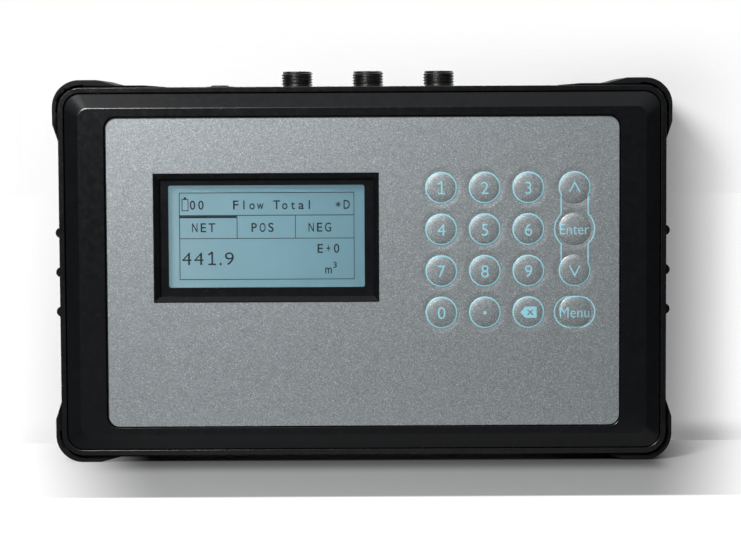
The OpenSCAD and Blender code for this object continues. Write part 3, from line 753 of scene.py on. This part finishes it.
def outermost(x, z):
    """True on the guards' two outer sides and on the round corner between them."""
    across, up = abs(x) - 107.35, abs(z) - 62.6
    return across > 10.2 or up > 10.2 or min(across, up) > -0.05 and math.hypot(across, up) > 10.2


for corner in ("top_left", "top_right", "bottom_left", "bottom_right"):
    bumper = from_cad(f"guard_{corner}", f"bumper_{corner}")
    round_where(bumper, 0.5, 3, lambda x, d, z: (d < 5.6 or d > 56.9) and outermost(x, z))
    smooth(bumper, 32, True)
    finish_piece(bumper, "case", GUARD, [f"guard_{corner}"])


# ---- Sockets ----
# Three turned brass connectors with dark nickel plate: a flange on a rubber washer, a
# threaded barrel, and in it a dark insert with four gold pins. A nut holds each from within.
UP = Vector((0, 0, 1))
SOCKET_X = {"upstream": -25.3, "downstream": 2.2, "data": 29.7}
SOCKET_Y = 1.6
THREAD_PITCH = 1.1
THREAD_CREST = 6.0
THREAD_ROOT = 5.4


def metal(name, dark, pale, rough, grain=0.5):
    """Bare or plated metal: slow clouds of tint and wear under a fine grain."""
    made, tree, shader, place = new_material(name)
    tint = ramp(tree, noise(tree, place, 3.5, 4.0, 0.6), [(0.3, dark), (0.7, pale)])
    tree.links.new(tint, shader.inputs["Base Color"])
    shader.inputs["Metallic"].default_value = 1.0
    wear = ramp(tree, noise(tree, place, 1.2, 4.0, 0.7), [(0.3, grey(rough - 0.06)),
                                                          (0.75, grey(rough + 0.08))])
    tree.links.new(wear, shader.inputs["Roughness"])
    raise_grain(tree, shader, noise(tree, place, grain, 3.0), 0.35, 0.008)
    return made


def screw_thread(name, low, rounds, crest, root):
    """One closed thread wound round the upright axis, its foot sunk in the barrel."""
    put_down()
    bpy.ops.mesh.primitive_plane_add(size=MM, location=(0, 0, 0))
    thread = bpy.context.object
    thread.name = name
    edit(thread)
    bpy.ops.mesh.merge(type="CENTER")
    bpy.ops.transform.translate(value=(root * MM, 0, low * MM))
    tooth = (crest - root) * MM
    for go, rise in ((tooth, 0.40), (0, 0.14), (-tooth, 0.40)):
        bpy.ops.mesh.extrude_region_move(
            TRANSFORM_OT_translate={"value": (go, 0, rise * THREAD_PITCH * MM)})
    put_down()
    for point in thread.data.vertices:
        point.select = point.co.x < (root + 0.01) * MM
    bpy.ops.object.mode_set(mode="EDIT")
    bpy.ops.mesh.edge_face_add()
    put_down()
    winding = thread.modifiers.new("winding", "SCREW")
    winding.axis = "Z"
    winding.steps = 48
    winding.render_steps = 48
    winding.screw_offset = THREAD_PITCH * MM
    winding.iterations = rounds
    winding.use_merge_vertices = False
    apply_last(thread)
    edit(thread)
    bpy.ops.mesh.select_all(action="DESELECT")
    bpy.ops.mesh.select_non_manifold()
    bpy.ops.mesh.fill_holes(sides=0)
    bpy.ops.mesh.select_all(action="SELECT")
    bpy.ops.mesh.normals_make_consistent(inside=False)
    put_down()
    return thread


NICKEL = metal("dark_nickel", (0.085, 0.084, 0.082), (0.14, 0.138, 0.134), 0.3)
GOLD = metal("gold_plate", (0.72, 0.48, 0.16), (0.85, 0.60, 0.24), 0.25, 0.2)
INSERT = moulded("insert_plastic", (0.010, 0.010, 0.011), (0.016, 0.016, 0.018), 0.45, 0.15, 0.01)
low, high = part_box("data_socket")
base, top = low.z / MM, high.z / MM
flange = base + 8.5
barrel = turned("barrel", Vector((0, 0, 0)), UP,
                [(5.25, base), (5.25, flange), (7.9, flange), (8.25, flange + 0.35),
                 (8.25, flange + 1.45), (7.9, flange + 1.8), (6.0, flange + 1.8),
                 (5.55, flange + 2.3), (5.55, top - 0.25), (5.35, top)], 72)
carve(barrel, turned("bore", Vector((0, 0, 0)), UP,
                     [(4.9, top - 6.4), (4.9, top - 0.2), (5.2, top + 0.1)], 72),
      turned("through", Vector((0, 0, 0)), UP, [(3.6, base - 1), (3.6, top)], 48))
thread = screw_thread("thread", flange + 2.35, 4, THREAD_CREST, THREAD_ROOT)
first_socket = join("first_socket", [barrel, thread])
smooth(first_socket, 35)
for socket, x in SOCKET_X.items():
    connector = copy_of(first_socket, f"{socket}_connector", (x * MM, SOCKET_Y * MM, 0))
    smooth(connector, 35)
    finish_piece(connector, "case", NICKEL, [f"{socket}_socket"])
bpy.data.objects.remove(first_socket)
dress(NICKEL, "socket_nuts")
dress(GOLD, "socket_pins")
dress(INSERT, "socket_inserts")


# ---- Power button ----
# A small round push button in a screwed-in collar on the top wall, sealed and black. Its
# switch and nut are inside.
BUTTON = moulded("button_black", (0.008, 0.008, 0.009), (0.014, 0.014, 0.016), 0.38, 0.2, 0.012)
low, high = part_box("power_button")
middle = Vector(((low.x + high.x) / 2, (low.y + high.y) / 2, 0))
foot, top = low.z / MM, high.z / MM
pusher = turned("pusher", middle, UP,
                [(2.0, foot), (2.0, top - 6.2), (3.65, top - 6.2), (3.65, top - 0.5),
                 (3.52, top - 0.18), (3.25, top), (2.9, top - 0.06), (2.2, top - 0.16),
                 (1.2, top - 0.22)], 64)
smooth(pusher, 32)
finish_piece(pusher, "power_button", BUTTON, ["power_button"])
collar = from_cad("power_collar", "collar")
round_where(collar, 0.3, 3, lambda x, d, z: z > 69.9, 30)
smooth(collar, 32, True)
finish_piece(collar, "case", INSERT, ["power_collar"])


# ---- Battery cover ----
# A flush moulded door over the cells, with grooves to press it out by and a screw at each
# end. The four cells behind it are shrink-wrapped as one pack.
cover = from_cad("battery_cover", "cover")
round_where(cover, 0.3, 2, lambda x, d, z: d > 53.9, 40)
smooth(cover, 32, True)
finish_piece(cover, "case", SHELL, ["battery_cover"])
WRAP = moulded("cell_wrap", (0.02, 0.07, 0.20), (0.03, 0.10, 0.26), 0.3, 2.0, 0.02)
dress(WRAP, "battery_pack")


# ---- Screws ----
# Zinc-plated steel machine screws with pan heads and cross recesses. Those of the case go
# in from the back through the corner pads, and two shorter ones hold the battery cover.
ZINC = metal("zinc_plate", (0.50, 0.51, 0.52), (0.66, 0.67, 0.68), 0.34)


def screw_piece(name, x, z, head_front, head_r, head_h, shank_r, tip):
    """A pan head that faces the back, with a shank towards the front and a cross recess."""
    base = spot(x, 0, z)
    back = Vector((0, 1, 0))
    made = turned(name, base, back,
                  [(shank_r * 0.75, tip), (shank_r, tip + 0.5), (shank_r, head_front),
                   (head_r, head_front), (head_r, head_front + head_h * 0.45),
                   (head_r * 0.93, head_front + head_h * 0.72),
                   (head_r * 0.75, head_front + head_h * 0.92),
                   (head_r * 0.45, head_front + head_h)], 40)
    top = head_front + head_h
    for turn in (0, 90):
        carve(made, bar("slot", x, z, head_r * 1.15, head_r * 0.24, turn,
                        top - head_h * 0.6, top + 1))
    smooth(made, 35)
    return made


low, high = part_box("case_screws")
reach_x, reach_z = high.x / MM - 2.9, (high.z - low.z) / MM / 2 - 2.9
case_screws = [screw_piece("screw", sx * reach_x, sz * reach_z, 27.6, 2.9, 2.2, 1.5, 9.6)
               for sx in (-1, 1) for sz in (-1, 1)]
case_screws = join("back_screws", case_screws)
finish_piece(case_screws, "case", ZINC, ["case_screws"])
low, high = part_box("cover_screws")
top_z = (high.z - MID_Z) / MM - 2.2
low_z = (low.z - MID_Z) / MM + 2.2
door_screws = [screw_piece("screw", 0, z, 52.6, 2.2, 1.4, 1.2, 46.6) for z in (low_z, top_z)]
door_screws = join("door_screws", door_screws)
finish_piece(door_screws, "case", ZINC, ["cover_screws"])
dress(ZINC, "board_screws", "screen_screws", "power_nut")


# ---- Inside parts ----
# The boards, the keypad's snap domes and printed circuit, and the screen's frame and light,
# as they are fixed inside the case. They show only when it is opened.
BOARD = moulded("circuit_board", (0.012, 0.075, 0.03), (0.018, 0.10, 0.042), 0.35, 1.4, 0.02)
dress(BOARD, "main_board", "screen_board")
CHIP = moulded("chip_plastic", (0.018, 0.018, 0.020), (0.028, 0.028, 0.030), 0.5, 0.2, 0.01)
dress(CHIP, "board_components", "power_switch")
FLEX = moulded("flex_circuit", (0.30, 0.16, 0.05), (0.38, 0.21, 0.07), 0.35, 0.8, 0.01)
dress(FLEX, "keypad_circuit")
SPACER = moulded("spacer_film", (0.004, 0.004, 0.0045), (0.007, 0.007, 0.0075), 0.5, 0.5, 0.01)
dress(SPACER, "keypad_spacer")
LIGHT = moulded("light_panel", (0.68, 0.70, 0.72), (0.76, 0.78, 0.80), 0.4, 0.6, 0.01)
dress(LIGHT, "screen_light")
STEEL = metal("spring_steel", (0.46, 0.46, 0.47), (0.60, 0.60, 0.61), 0.28)
dress(STEEL, "snap_domes", "screen_frame")


# ---- Studio ----
# A white table that is grey near the object, a painted shadow patch, and darker at its foot, a
# painted contact shadow; a sheet of paper close behind that shows only from the front and only
# near the object, so that the lamp's shadow on it fades out at a painted edge; a key lamp at the
# upper left with a weak one above it, and a pale room, brighter overhead and behind.
LEAN = 0.16
LEAN_FROM = 37
put_down()
bpy.ops.mesh.primitive_plane_add(size=6, location=(0, 0, 0))
table = bpy.context.object
table.name = "table"
put_down()
bpy.ops.mesh.primitive_plane_add(size=6, location=(0, 0.03, 0), rotation=(math.pi / 2, 0, 0))
wall = bpy.context.object
wall.name = "wall"


def reckon(tree, operation, first, second):
    """One sum on two values, either of which may be a plain number."""
    made = tree.nodes.new("ShaderNodeMath")
    made.operation = operation
    for socket, value in zip(made.inputs, (first, second)):
        if isinstance(value, (int, float)):
            socket.default_value = value
        else:
            tree.links.new(value, socket)
    return made.outputs[0]


def near_object(tree, place, sides, lean=0.0):
    """One close to the object, falling softly to nothing: (axis, nothing at, whole at) in mm.
    With a lean, the two X sides draw in towards the front."""
    apart = tree.nodes.new("ShaderNodeSeparateXYZ")
    tree.links.new(place, apart.inputs["Vector"])
    whole = None
    for axis, start, end in sides:
        along = apart.outputs[axis]
        if axis == "X" and lean:
            inwards = lean if start > 0 else -lean
            depth = reckon(tree, "ADD", apart.outputs["Y"], LEAN_FROM * MM)
            along = reckon(tree, "SUBTRACT", along, reckon(tree, "MULTIPLY", depth, inwards))
        fade = tree.nodes.new("ShaderNodeMapRange")
        fade.interpolation_type = "SMOOTHSTEP"
        fade.inputs["From Min"].default_value = start * MM
        fade.inputs["From Max"].default_value = end * MM
        tree.links.new(along, fade.inputs["Value"])
        value = fade.outputs["Result"]
        whole = value if whole is None else reckon(tree, "MULTIPLY", whole, value)
    return whole


PAPER, tree, shader, place = new_material("table_paper")
# The table is grey only near the object, a painted shadow patch that leans in towards the front
# and ends sharply in front of it; farther out it glows white to the camera.
close = near_object(tree, place, [("X", -135, -78), ("X", 157, 107), ("Y", -109.5, -105),
                                  ("Y", 110, 40)], LEAN)
closest = near_object(tree, place, [("Y", -105, -60)])
# foot darkens the table further round the object's foot, in front and behind: a painted contact
# shadow.
foot = near_object(tree, place, [("X", -112, -84), ("X", 118, 108), ("Y", -56, -28),
                                 ("Y", 56, 28)])
seen = tree.nodes.new("ShaderNodeLightPath")
pale = reckon(tree, "MULTIPLY", close,
              reckon(tree, "MAXIMUM", seen.outputs["Is Camera Ray"], closest))
# The painted contact shadow shows to the camera only and takes up to three quarters off the grey.
foot = reckon(tree, "MULTIPLY", foot, seen.outputs["Is Camera Ray"])
foot = reckon(tree, "MULTIPLY", foot, 0.75)
pale = reckon(tree, "MULTIPLY", pale, reckon(tree, "SUBTRACT", 1, foot))
tree.links.new(ramp(tree, pale, [(0.0, grey(0.06)), (1.0, grey(0.33))]),
               shader.inputs["Base Color"])
shader.inputs["Roughness"].default_value = 0.9
shader.inputs["Specular IOR Level"].default_value = 0.1
shader.inputs["Emission Color"].default_value = (1, 1, 1, 1)
tree.links.new(reckon(tree, "MULTIPLY", seen.outputs["Is Camera Ray"],
                      reckon(tree, "SUBTRACT", 1, close)),
               shader.inputs["Emission Strength"])
table.data.materials.append(PAPER)

SHEET, tree, shader, place = new_material("wall_paper")
shader.inputs["Base Color"].default_value = (*grey(0.8), 1)
shader.inputs["Roughness"].default_value = 0.9
shader.inputs["Specular IOR Level"].default_value = 0.1
shader.inputs["Emission Color"].default_value = (1, 1, 1, 1)
shader.inputs["Emission Strength"].default_value = 0.13
# The paper shows only near the object and turns clear farther out, so the key lamp's cast shadow
# on it fades to white at this soft edge: the shadow is real, its falloff is painted.
close = near_object(tree, place, [("X", -150, -118), ("X", 166, 114), ("Z", 170, 141)])
seen = tree.nodes.new("ShaderNodeLightPath")
side = tree.nodes.new("ShaderNodeNewGeometry")
only_front = reckon(tree, "SUBTRACT", seen.outputs["Is Camera Ray"], side.outputs["Backfacing"])
clear = tree.nodes.new("ShaderNodeBsdfTransparent")
either = tree.nodes.new("ShaderNodeMixShader")
tree.links.new(reckon(tree, "MULTIPLY", close, reckon(tree, "MAXIMUM", only_front, 0)),
               either.inputs["Fac"])
tree.links.new(clear.outputs[0], either.inputs[1])
tree.links.new(shader.outputs[0], either.inputs[2])
tree.links.new(either.outputs[0], tree.nodes["Material Output"].inputs["Surface"])
wall.data.materials.append(SHEET)
for sheet in (table, wall):
    settle(sheet)

world = bpy.data.worlds.new("studio")
bpy.context.scene.world = world
world.use_nodes = True
tree = world.node_tree
sky = tree.nodes["Background"]
aim = tree.nodes.new("ShaderNodeTexCoord")
apart = tree.nodes.new("ShaderNodeSeparateXYZ")
tree.links.new(aim.outputs["Generated"], apart.inputs["Vector"])
half = tree.nodes.new("ShaderNodeMapRange")
half.inputs["From Min"].default_value = -1
tree.links.new(apart.outputs["Z"], half.inputs["Value"])
room = ramp(tree, half.outputs["Result"], [(0.45, grey(0.02)), (0.5, grey(0.05)),
                                           (0.55, grey(0.13)), (0.75, grey(0.3)),
                                           (1.0, grey(0.5))])
behind = ramp(tree, apart.outputs["Y"], [(0.1, grey(0)), (0.6, grey(1))])
room = blend_colours(tree, behind, room, ramp(tree, behind, [(0.0, grey(0.55))]))
seen = tree.nodes.new("ShaderNodeLightPath")
tone = tree.nodes.new("ShaderNodeMix")
tone.data_type = "RGBA"
tree.links.new(seen.outputs["Is Camera Ray"], tone.inputs[0])
tree.links.new(room, tone.inputs[6])
tone.inputs[7].default_value = (1, 1, 1, 1)
tree.links.new(tone.outputs[2], sky.inputs["Color"])
sky.inputs["Strength"].default_value = 1.0


def lamp(name, place, aim, size, power):
    """A round soft lamp that is turned towards a point."""
    light = bpy.data.lights.new(name, "AREA")
    light.shape = "DISK"
    light.size = size
    light.energy = power
    holder = bpy.data.objects.new(name, light)
    bpy.context.scene.collection.objects.link(holder)
    holder.location = place
    holder.rotation_euler = (Vector(aim) - Vector(place)).to_track_quat("-Z", "Y").to_euler()
    return holder


lamp("key_lamp", (-0.28, -0.64, 0.45), (0, 0, 0.07), 0.22, 6)
lamp("corner_lamp", (-0.46, -0.6, 0.98), (-0.05, 0, 0.14), 0.5, 0.8)

IMAGE_WIDE = 741
FOCAL_PIXELS = 2340
SENSOR = 36
camera = bpy.data.objects.new("camera", bpy.data.cameras.new("camera"))
bpy.context.scene.collection.objects.link(camera)
camera.location = (4.4 * MM, -911.5 * MM, 131.8 * MM)
turn = math.radians(-0.098)
tilt = math.radians(3.81)
roll = math.radians(-0.294)
ahead = Vector((math.sin(turn) * math.cos(tilt), math.cos(turn) * math.cos(tilt),
                -math.sin(tilt)))
level = Vector((math.cos(turn), -math.sin(turn), 0))
above = level.cross(ahead)
right = math.cos(roll) * level + math.sin(roll) * above
up = -math.sin(roll) * level + math.cos(roll) * above
camera.rotation_mode = "QUATERNION"
camera.rotation_quaternion = Matrix((right, up, -ahead)).transposed().to_quaternion()
camera.data.sensor_width = SENSOR
camera.data.lens = FOCAL_PIXELS / IMAGE_WIDE * SENSOR
camera.data.clip_start = 0.05
camera.data.clip_end = 20
bpy.context.scene.camera = camera
bpy.context.scene.view_settings.view_transform = "Standard"
